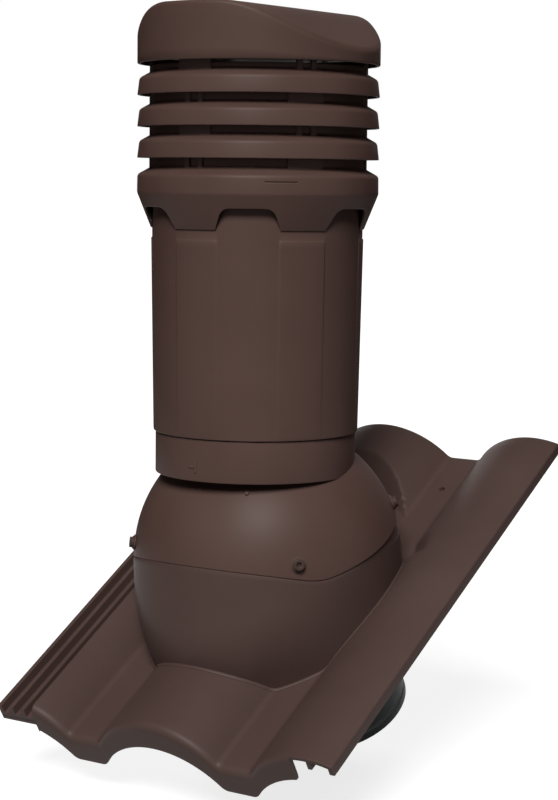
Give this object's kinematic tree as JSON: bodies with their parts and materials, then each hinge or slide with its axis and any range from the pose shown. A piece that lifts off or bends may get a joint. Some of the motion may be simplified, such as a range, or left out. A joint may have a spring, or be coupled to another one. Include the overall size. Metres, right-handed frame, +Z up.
{
  "type": "roof vent pipe",
  "caption": "Brown louvred roof vent pipe on a ball seat moulded on a double-roll roof tile, with a black duct spigot below.",
  "frame": {"origin": "point where the pipe's axis crosses the valley face of the tile", "axes": "+Z up along the pipe's axis, +Y level and up the roof, +X to the right as seen from the eave"},
  "size_m": [0.3345, 0.3816, 0.6422],
  "materials": {
    "tile_brown": "satin, moulded",
    "pipe_brown": "satin, moulded",
    "inner_plastic": "matte",
    "spigot_black": "satin",
    "seal_rubber": "matte",
    "foam_grey": "foamed",
    "steel": "zinc plated"
  },
  "bodies": {
    "roof": {"tile_base": "tile_brown", "ball_seal": "seal_rubber", "duct_adapter": "spigot_black", "adapter_seal": "seal_rubber", "adapter_screws": "steel", "spigot_seal": "seal_rubber"},
    "shell": {"ball_shell": "pipe_brown", "dome_screws": "pipe_brown", "screw_washers": "steel", "screw_nuts": "steel", "sleeve_seal": "seal_rubber"},
    "pipe": {"sleeve_pipe": "pipe_brown", "head_collar": "pipe_brown", "louvre_ring_1": "pipe_brown", "louvre_ring_2": "pipe_brown", "louvre_ring_3": "pipe_brown", "rain_hood": "pipe_brown", "hood_liner": "inner_plastic", "inner_duct": "inner_plastic", "insulation_tube": "foam_grey", "centring_ring_top": "inner_plastic", "centring_ring_bottom": "inner_plastic", "bayonet_ring": "inner_plastic"}
  },
  "joints": [
    {"name": "shell_pitch", "type": "hinge", "parent": "roof", "child": "shell", "pos_m": [0, 0.0207, 0.0625], "axis": [1, 0, 0], "range_deg": [-15, 0]},
    {"name": "sleeve_twist", "type": "hinge", "parent": "shell", "child": "pipe", "pos_m": [0, 0, 0.1717], "axis": [0, 0, 1], "range_deg": [0, 20]}
  ]
}
